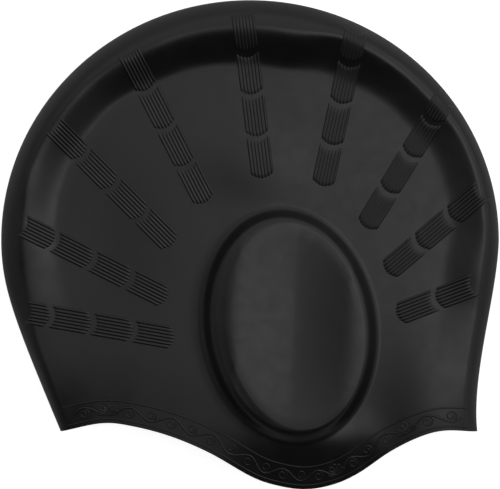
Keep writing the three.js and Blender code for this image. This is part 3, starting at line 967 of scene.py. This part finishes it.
class SharedNodes:
    """The node groups that the finishes of the cap share."""

    @staticmethod
    def group(
        name: str, inputs: dict[str, float], output: str
    ) -> tuple[bpy.types.NodeTree, dict[str, bpy.types.Node]]:
        """Starts a node group that reads Object coordinates.

        Args:
            name: The group's name.
            inputs: Its inputs with their default values.
            output: The name of its one output.

        Returns:
            The group, and its nodes "in", "out" and "place".
        """
        tree = bpy.data.node_groups.new(name, "ShaderNodeTree")
        for label, value in inputs.items():
            socket = tree.interface.new_socket(label, in_out="INPUT", socket_type="NodeSocketFloat")
            socket.default_value = value
        tree.interface.new_socket(output, in_out="OUTPUT", socket_type="NodeSocketFloat")
        nodes = {
            "in": tree.nodes.new("NodeGroupInput"),
            "out": tree.nodes.new("NodeGroupOutput"),
            "place": tree.nodes.new("ShaderNodeTexCoord"),
        }
        return tree, nodes

    @classmethod
    def noise(cls) -> bpy.types.NodeTree:
        """Makes a group that gives soft noise between 0 and 1 at a given scale, stretched to a contrast.

        Returns:
            The group.
        """
        tree, nodes = cls.group("soft_noise", {"Scale": 100.0, "Detail": 3.0, "Contrast": 1.0}, "Value")
        middle = 0.5
        noise = tree.nodes.new("ShaderNodeTexNoise")
        tree.links.new(nodes["place"].outputs["Object"], noise.inputs["Vector"])
        tree.links.new(nodes["in"].outputs["Scale"], noise.inputs["Scale"])
        tree.links.new(nodes["in"].outputs["Detail"], noise.inputs["Detail"])
        centred = tree.nodes.new("ShaderNodeMath")
        centred.operation = "SUBTRACT"
        centred.inputs[1].default_value = middle
        tree.links.new(noise.outputs["Fac"], centred.inputs[0])
        stretched = tree.nodes.new("ShaderNodeMath")
        stretched.operation = "MULTIPLY_ADD"
        stretched.use_clamp = True
        stretched.inputs[2].default_value = middle
        tree.links.new(centred.outputs[0], stretched.inputs[0])
        tree.links.new(nodes["in"].outputs["Contrast"], stretched.inputs[1])
        tree.links.new(stretched.outputs[0], nodes["out"].inputs["Value"])
        return tree


@dataclass(frozen=True)
class SoftNoise:
    """Soft noise over a finish: its scale, its detail and how far it is stretched round its middle."""

    scale: float
    detail: float
    contrast: float

    def place(self, tree: bpy.types.NodeTree, group: bpy.types.NodeTree) -> bpy.types.NodeSocket:
        """Places the shared noise group in a material.

        Args:
            tree: The material's nodes.
            group: The shared group.

        Returns:
            The output that gives the noise.
        """
        node = tree.nodes.new("ShaderNodeGroup")
        node.node_tree = group
        node.inputs["Scale"].default_value = self.scale
        node.inputs["Detail"].default_value = self.detail
        node.inputs["Contrast"].default_value = self.contrast
        return node.outputs["Value"]


@dataclass(frozen=True)
class Silicone:
    """The finish of the moulded silicone."""

    name: str
    dark: tuple[float, float, float]
    pale: tuple[float, float, float]
    roughness: float
    roughness_spread: float = 0.05
    mottle: SoftNoise = SoftNoise(55.0, 4.0, 2.2)
    haze: SoftNoise = SoftNoise(181.5, 5.0, 1.8)
    grain: SoftNoise = SoftNoise(2200.0, 2.0, 1.5)
    grain_height: float = 0.000015
    specular: float = 0.5

    def build(self, noise: bpy.types.NodeTree) -> bpy.types.Material:
        """Makes the material.

        Args:
            noise: The shared group that gives soft noise.

        Returns:
            The material.
        """
        material = bpy.data.materials.new(self.name)
        material.use_nodes = True
        tree = material.node_tree
        tree.nodes.clear()
        shader = tree.nodes.new("ShaderNodeBsdfPrincipled")
        output = tree.nodes.new("ShaderNodeOutputMaterial")
        tree.links.new(shader.outputs["BSDF"], output.inputs["Surface"])
        shader.inputs["Specular IOR Level"].default_value = self.specular
        colour = tree.nodes.new("ShaderNodeMix")
        colour.data_type = "RGBA"
        colour.inputs[MIX_FIRST].default_value = (*self.dark, 1.0)
        colour.inputs[MIX_SECOND].default_value = (*self.pale, 1.0)
        tree.links.new(self.mottle.place(tree, noise), colour.inputs["Factor"])
        tree.links.new(colour.outputs[MIX_RESULT], shader.inputs["Base Color"])
        rough = tree.nodes.new("ShaderNodeMapRange")
        rough.inputs["To Min"].default_value = self.roughness - self.roughness_spread
        rough.inputs["To Max"].default_value = self.roughness + self.roughness_spread
        tree.links.new(self.haze.place(tree, noise), rough.inputs["Value"])
        tree.links.new(rough.outputs["Result"], shader.inputs["Roughness"])
        bump = tree.nodes.new("ShaderNodeBump")
        bump.inputs["Strength"].default_value = 1.0
        bump.inputs["Distance"].default_value = self.grain_height
        tree.links.new(self.grain.place(tree, noise), bump.inputs["Height"])
        tree.links.new(bump.outputs["Normal"], shader.inputs["Normal"])
        return material


@dataclass(frozen=True)
class Glow:
    """A patch of the soft light all round: its direction, its core's and edge's half angles, its strength."""

    towards: tuple[float, float, float]
    core: float
    edge: float
    strength: float


@dataclass
class Studio:
    """The pale floor, the soft light from above and the camera straight above the cap."""

    floor_size: float = 8.0
    floor_colour: tuple[float, float, float] = (0.55, 0.55, 0.55)
    floor_glow: float = 0.9
    floor_mirrored: float = 0.03
    floor_roughness: float = 0.9
    least_light: float = 0.04
    glows: tuple[Glow, ...] = (
        Glow((0.3, 0.75, 0.5), 10.0, 80.0, 0.6),
        Glow((1.0, 0.1, 0.45), 10.0, 60.0, 0.35),
        Glow((-1.0, 0.2, 0.5), 10.0, 60.0, 0.25),
    )
    panel_place: tuple[float, float, float] = (0.47, 0.1, 1.9)
    panel_size: float = 1.0
    panel_watts: float = 3.6
    backdrop: float = 0.85
    camera_height: float = 1.5
    view_width: float = 0.225
    sensor_width: float = 36.0
    clip_end: float = 20.0

    def floor(self) -> None:
        """Lays the floor."""
        mesh = bmesh.new()
        bmesh.ops.create_grid(mesh, x_segments=1, y_segments=1, size=self.floor_size / 2.0)
        data = bpy.data.meshes.new("floor")
        mesh.to_mesh(data)
        mesh.free()
        material = bpy.data.materials.new("floor_white")
        material.use_nodes = True
        tree = material.node_tree
        shader = tree.nodes["Principled BSDF"]
        shader.inputs["Base Color"].default_value = (*self.floor_colour, 1.0)
        shader.inputs["Roughness"].default_value = self.floor_roughness
        shader.inputs["Emission Color"].default_value = (1.0, 1.0, 1.0, 1.0)
        seen = tree.nodes.new("ShaderNodeLightPath")
        glow = tree.nodes.new("ShaderNodeMapRange")
        glow.inputs["To Min"].default_value = self.floor_mirrored
        glow.inputs["To Max"].default_value = self.floor_glow
        tree.links.new(seen.outputs["Is Camera Ray"], glow.inputs["Value"])
        tree.links.new(glow.outputs["Result"], shader.inputs["Emission Strength"])
        data.materials.append(material)
        piece = bpy.data.objects.new("floor", data)
        bpy.context.scene.collection.objects.link(piece)

    def light(self) -> None:
        """Hangs the soft light, which faces the cap."""
        data = bpy.data.lights.new("soft_panel", "AREA")
        data.shape = "SQUARE"
        data.size = self.panel_size
        data.energy = self.panel_watts
        lamp = bpy.data.objects.new("soft_panel", data)
        lamp.location = self.panel_place
        lamp.rotation_euler = (-Vector(self.panel_place)).to_track_quat("-Z", "Y").to_euler()
        bpy.context.scene.collection.objects.link(lamp)

    @staticmethod
    def brightness(
        tree: bpy.types.NodeTree, towards: bpy.types.NodeSocket, glow: Glow
    ) -> bpy.types.NodeSocket:
        """Works out how bright a glow is in each direction.

        Args:
            tree: The nodes of the surroundings.
            towards: The output that gives the direction.
            glow: The glow.

        Returns:
            The output that gives its brightness.
        """
        facing = tree.nodes.new("ShaderNodeVectorMath")
        facing.operation = "DOT_PRODUCT"
        facing.inputs[1].default_value = Vector(glow.towards).normalized()
        tree.links.new(towards, facing.inputs[0])
        spread = tree.nodes.new("ShaderNodeMapRange")
        spread.interpolation_type = "SMOOTHSTEP"
        spread.inputs["From Min"].default_value = math.cos(math.radians(glow.edge))
        spread.inputs["From Max"].default_value = math.cos(math.radians(glow.core))
        spread.inputs["To Min"].default_value = 0.0
        spread.inputs["To Max"].default_value = glow.strength
        tree.links.new(facing.outputs["Value"], spread.inputs["Value"])
        return spread.outputs["Result"]

    def surroundings(self) -> None:
        """Makes the soft light that comes from all round."""
        world = bpy.data.worlds.new("surroundings")
        world.use_nodes = True
        tree = world.node_tree
        background = tree.nodes["Background"]
        place = tree.nodes.new("ShaderNodeTexCoord")
        total = None
        for glow in self.glows:
            added = tree.nodes.new("ShaderNodeMath")
            added.inputs[1].default_value = self.least_light
            tree.links.new(self.brightness(tree, place.outputs["Generated"], glow), added.inputs[0])
            if total is not None:
                tree.links.new(total, added.inputs[1])
            total = added.outputs["Value"]
        seen = tree.nodes.new("ShaderNodeLightPath")
        choice = tree.nodes.new("ShaderNodeMix")
        choice.data_type = "FLOAT"
        tree.links.new(seen.outputs["Is Camera Ray"], choice.inputs["Factor"])
        tree.links.new(total, choice.inputs["A"])
        choice.inputs["B"].default_value = self.backdrop
        tree.links.new(choice.outputs["Result"], background.inputs["Strength"])
        background.inputs["Color"].default_value = (1.0, 1.0, 1.0, 1.0)
        bpy.context.scene.world = world

    def camera(self) -> None:
        """Hangs the camera that looks straight down, framed as the photo is."""
        data = bpy.data.cameras.new("camera")
        data.sensor_fit = "HORIZONTAL"
        data.sensor_width = self.sensor_width
        low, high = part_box(NODE)
        distance = self.camera_height - (low[2] + high[2]) / 2.0
        data.lens = data.sensor_width * distance / self.view_width
        data.clip_end = self.clip_end
        camera = bpy.data.objects.new("camera", data)
        camera.location = (0.0, 0.0, self.camera_height)
        bpy.context.scene.collection.objects.link(camera)
        bpy.context.scene.camera = camera

    def build(self) -> None:
        """Sets up the floor, the lights, the surroundings and the camera."""
        self.floor()
        self.surroundings()
        self.light()
        bpy.context.scene.view_settings.view_transform = "Standard"
        self.camera()


def main() -> None:
    """Builds the cap and its studio."""
    logging.basicConfig(level=logging.INFO, format="%(name)s: %(message)s")
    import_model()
    form = CapForm()
    noise = SharedNodes.noise()
    skin = Silicone(
        "silicone_skin", dark=(0.003, 0.0032, 0.003), pale=(0.0042, 0.0045, 0.0044), roughness=0.32
    )
    ribs = Silicone(
        "silicone_ribs", dark=(0.0028, 0.0028, 0.0028), pale=(0.004, 0.0042, 0.0041), roughness=0.36
    )
    band = Silicone(
        "silicone_band", dark=(0.003, 0.003, 0.003), pale=(0.0042, 0.0045, 0.0044), roughness=0.32
    )
    for part, finish in ((CapSkin(form), skin), (GripPads(form), ribs), (HemOrnament(form), band)):
        piece = part.dress(finish.build(noise))
        LOG.info("%s: %d faces", piece.name, len(piece.data.polygons))
    Studio().build()


if __name__ == "__main__":
    main()
